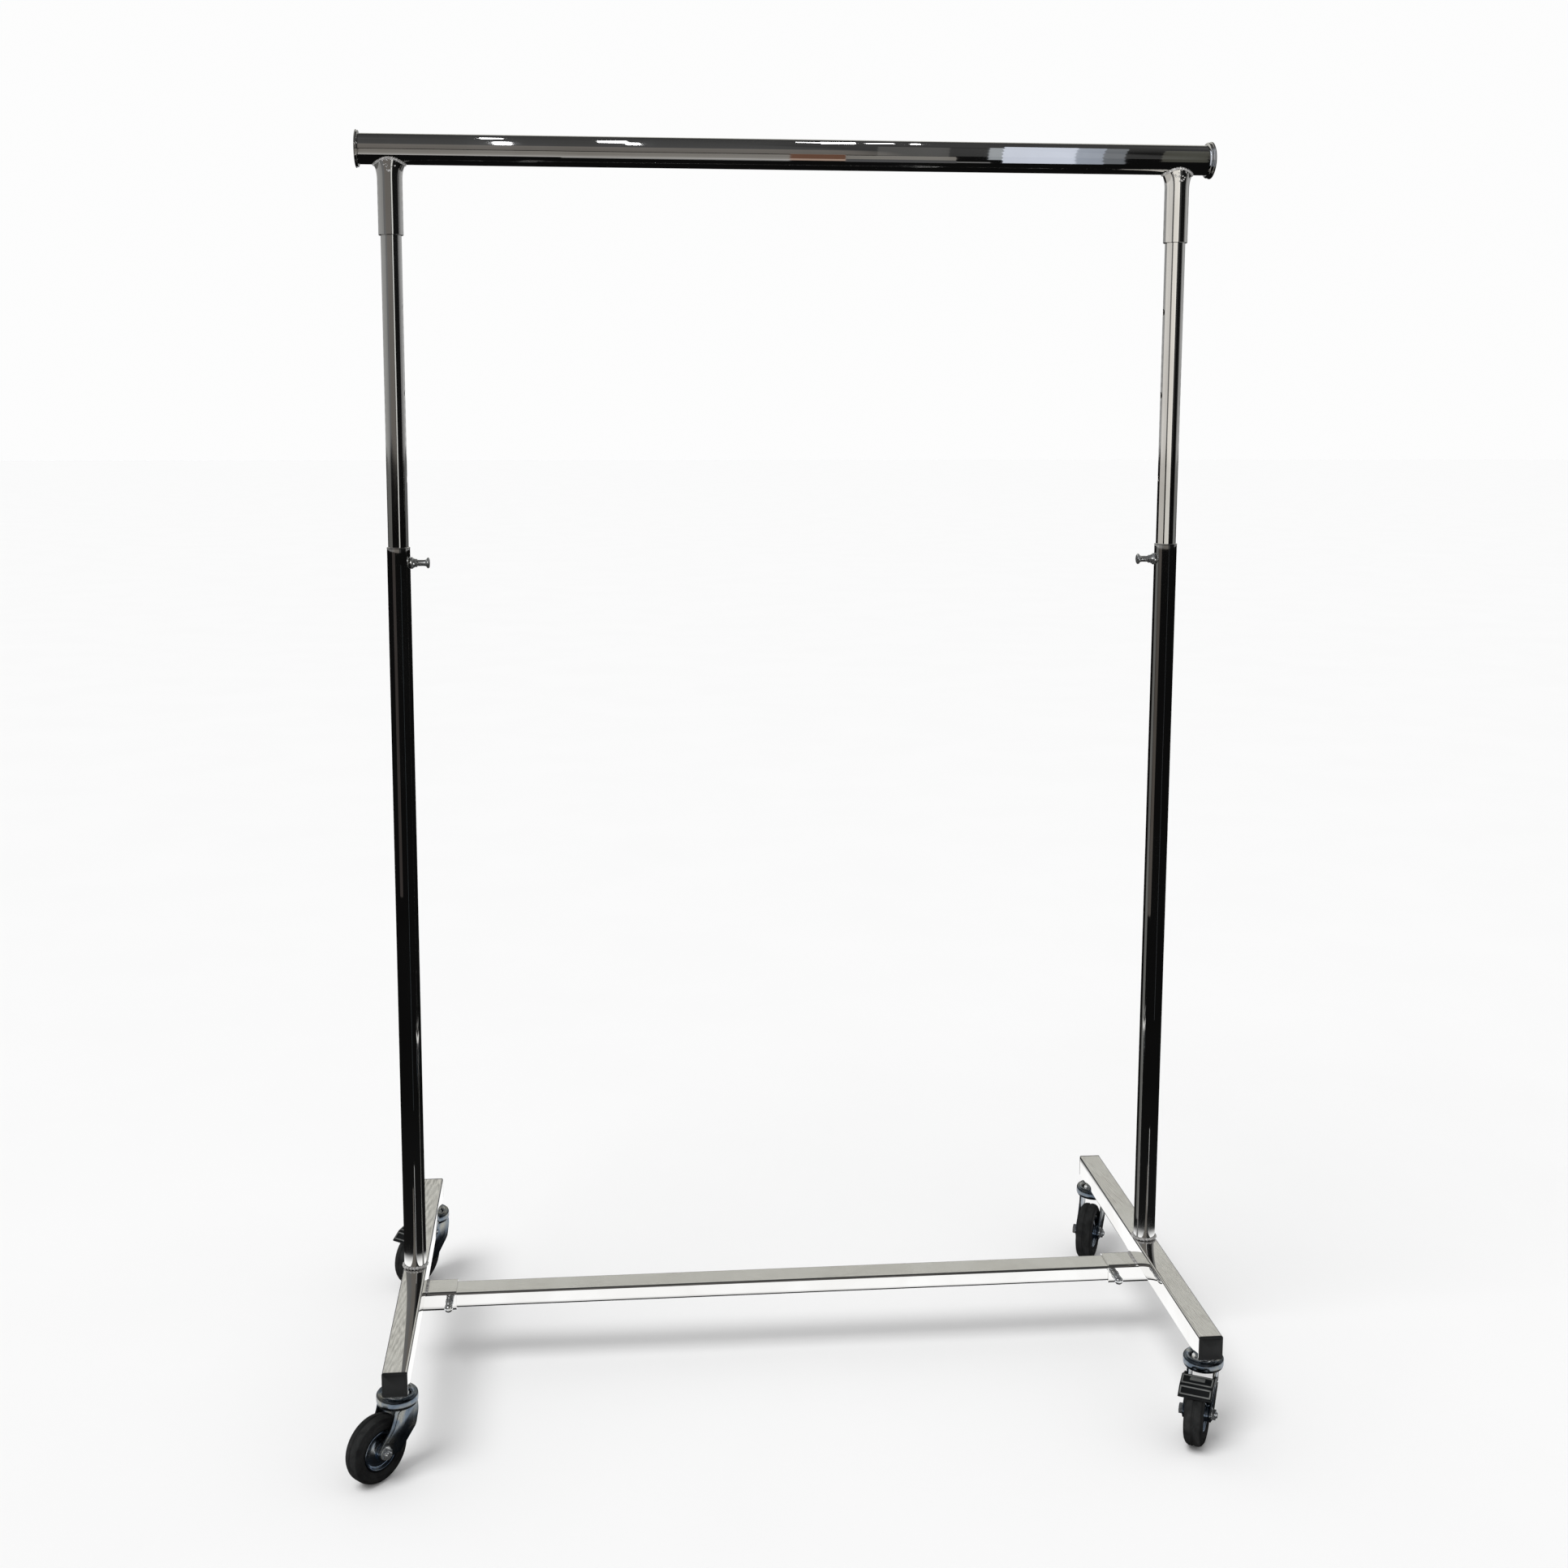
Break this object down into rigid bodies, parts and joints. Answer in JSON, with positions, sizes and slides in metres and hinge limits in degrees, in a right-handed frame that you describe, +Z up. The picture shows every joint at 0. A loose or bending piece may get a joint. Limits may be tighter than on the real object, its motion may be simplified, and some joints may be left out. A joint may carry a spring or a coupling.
{
  "type": "garment rail",
  "caption": "Wheeled chrome clothes rack: a hang rail on height-adjustable uprights, joined low down by a crossbar, on legs with swivel casters.",
  "frame": {"origin": "on the floor under the middle of the whole rack; the crossbar and uprights stand 21 mm behind it", "axes": "+X along the hang rail to the rack's right, +Y to its back (the spring pins of the crossbar face -Y), +Z up"},
  "size_m": [1.0858, 0.596, 1.591],
  "materials": {
    "chrome_rail": "bright chrome plate",
    "chrome_tube": "bright chrome plate",
    "chrome_base": "bright chrome plate with weld fillets",
    "zinc": "bright zinc plate",
    "spring_steel": "plain spring steel",
    "rubber": "matt grey-black rubber",
    "black_plastic": "moulded, satin"
  },
  "bodies": {
    "base": {"caster_back_left_stem": "zinc", "caster_back_right_stem": "zinc", "caster_front_left_stem": "zinc", "caster_front_right_stem": "zinc", "crossbar": "chrome_base", "crossbar_pin_left_housing": "zinc", "crossbar_pin_left_spring": "spring_steel", "crossbar_pin_right_housing": "zinc", "crossbar_pin_right_spring": "spring_steel", "crossbar_sleeve_left": "chrome_base", "crossbar_sleeve_right": "chrome_base", "height_pin_left_housing": "zinc", "height_pin_left_spring": "spring_steel", "height_pin_right_housing": "zinc", "height_pin_right_spring": "spring_steel", "leg_cap_back_left": "black_plastic", "leg_cap_back_right": "black_plastic", "leg_cap_front_left": "black_plastic", "leg_cap_front_right": "black_plastic", "leg_left": "chrome_base", "leg_right": "chrome_base", "lower_upright_left": "chrome_tube", "lower_upright_right": "chrome_tube"},
    "hanging_frame": {"hang_rail": "chrome_rail", "rail_end_cap_left": "chrome_rail", "rail_end_cap_right": "chrome_rail", "rail_socket_left": "chrome_rail", "rail_socket_right": "chrome_rail", "upper_tube_left": "chrome_tube", "upper_tube_right": "chrome_tube"},
    "height_pin_left": {"height_pin_left_pin": "zinc"},
    "height_pin_right": {"height_pin_right_pin": "zinc"},
    "crossbar_pin_left": {"crossbar_pin_left_pin": "zinc"},
    "crossbar_pin_right": {"crossbar_pin_right_pin": "zinc"},
    "caster_front_left_swivel": {"caster_front_left_fork": "zinc", "caster_front_left_axle_bolt": "zinc", "caster_front_left_axle_nut": "zinc"},
    "caster_front_left_wheel": {"caster_front_left_tyre": "rubber", "caster_front_left_hub": "zinc"},
    "caster_front_right_swivel": {"caster_front_right_fork": "zinc", "caster_front_right_axle_bolt": "zinc", "caster_front_right_axle_nut": "zinc"},
    "caster_front_right_wheel": {"caster_front_right_tyre": "rubber", "caster_front_right_hub": "zinc"},
    "caster_front_right_pedal": {"caster_front_right_brake_pedal": "black_plastic"},
    "caster_back_left_swivel": {"caster_back_left_fork": "zinc", "caster_back_left_axle_bolt": "zinc", "caster_back_left_axle_nut": "zinc"},
    "caster_back_left_wheel": {"caster_back_left_tyre": "rubber", "caster_back_left_hub": "zinc"},
    "caster_back_left_pedal": {"caster_back_left_brake_pedal": "black_plastic"},
    "caster_back_right_swivel": {"caster_back_right_fork": "zinc", "caster_back_right_axle_bolt": "zinc", "caster_back_right_axle_nut": "zinc"},
    "caster_back_right_wheel": {"caster_back_right_tyre": "rubber", "caster_back_right_hub": "zinc"}
  },
  "joints": [
    {"name": "height_slide", "type": "slide", "parent": "base", "child": "hanging_frame", "axis": [0, 0, 1], "range_m": [-0.315, 0.21]},
    {"name": "height_pin_left_pull", "type": "slide", "parent": "base", "child": "height_pin_left", "axis": [1, 0, 0], "range_m": [0, 0.004], "stiffness_N_per_m": 400, "springref_m": -0.005, "deforming": ["height_pin_left_spring"]},
    {"name": "height_pin_right_pull", "type": "slide", "parent": "base", "child": "height_pin_right", "axis": [-1, 0, 0], "range_m": [0, 0.004], "stiffness_N_per_m": 400, "springref_m": -0.005, "deforming": ["height_pin_right_spring"]},
    {"name": "crossbar_pin_left_pull", "type": "slide", "parent": "base", "child": "crossbar_pin_left", "axis": [0, -1, 0], "range_m": [0, 0.0045], "stiffness_N_per_m": 400, "springref_m": -0.005, "deforming": ["crossbar_pin_left_spring"]},
    {"name": "crossbar_pin_right_pull", "type": "slide", "parent": "base", "child": "crossbar_pin_right", "axis": [0, -1, 0], "range_m": [0, 0.0045], "stiffness_N_per_m": 400, "springref_m": -0.005, "deforming": ["crossbar_pin_right_spring"]},
    {"name": "caster_front_left_swivel", "type": "hinge", "parent": "base", "child": "caster_front_left_swivel", "pos_m": [-0.492, -0.23, 0.091], "axis": [0, 0, 1], "continuous": true},
    {"name": "caster_front_left_spin", "type": "hinge", "parent": "caster_front_left_swivel", "child": "caster_front_left_wheel", "pos_m": [-0.51533, -0.25333, 0.04], "axis": [0.7071, -0.7071, 0], "continuous": true},
    {"name": "caster_front_right_swivel", "type": "hinge", "parent": "base", "child": "caster_front_right_swivel", "pos_m": [0.492, -0.23, 0.091], "axis": [0, 0, 1], "continuous": true},
    {"name": "caster_front_right_spin", "type": "hinge", "parent": "caster_front_right_swivel", "child": "caster_front_right_wheel", "pos_m": [0.47651, -0.25914, 0.04], "axis": [0.8829, -0.4695, 0], "continuous": true},
    {"name": "caster_front_right_brake", "type": "hinge", "parent": "caster_front_right_swivel", "child": "caster_front_right_pedal", "pos_m": [0.48543, -0.24236, 0.074], "axis": [-0.8829, 0.4695, 0], "range_deg": [0, 15]},
    {"name": "caster_back_left_swivel", "type": "hinge", "parent": "base", "child": "caster_back_left_swivel", "pos_m": [-0.492, 0.272, 0.091], "axis": [0, 0, 1], "continuous": true},
    {"name": "caster_back_left_spin", "type": "hinge", "parent": "caster_back_left_swivel", "child": "caster_back_left_wheel", "pos_m": [-0.5114, 0.2453, 0.04], "axis": [0.809, -0.5878, 0], "continuous": true},
    {"name": "caster_back_left_brake", "type": "hinge", "parent": "caster_back_left_swivel", "child": "caster_back_left_pedal", "pos_m": [-0.50023, 0.26067, 0.074], "axis": [-0.809, 0.5878, 0], "range_deg": [0, 15]},
    {"name": "caster_back_right_swivel", "type": "hinge", "parent": "base", "child": "caster_back_right_swivel", "pos_m": [0.492, 0.272, 0.091], "axis": [0, 0, 1], "continuous": true},
    {"name": "caster_back_right_spin", "type": "hinge", "parent": "caster_back_right_swivel", "child": "caster_back_right_wheel", "pos_m": [0.47702, 0.2426, 0.04], "axis": [0.891, -0.454, 0], "continuous": true}
  ]
}
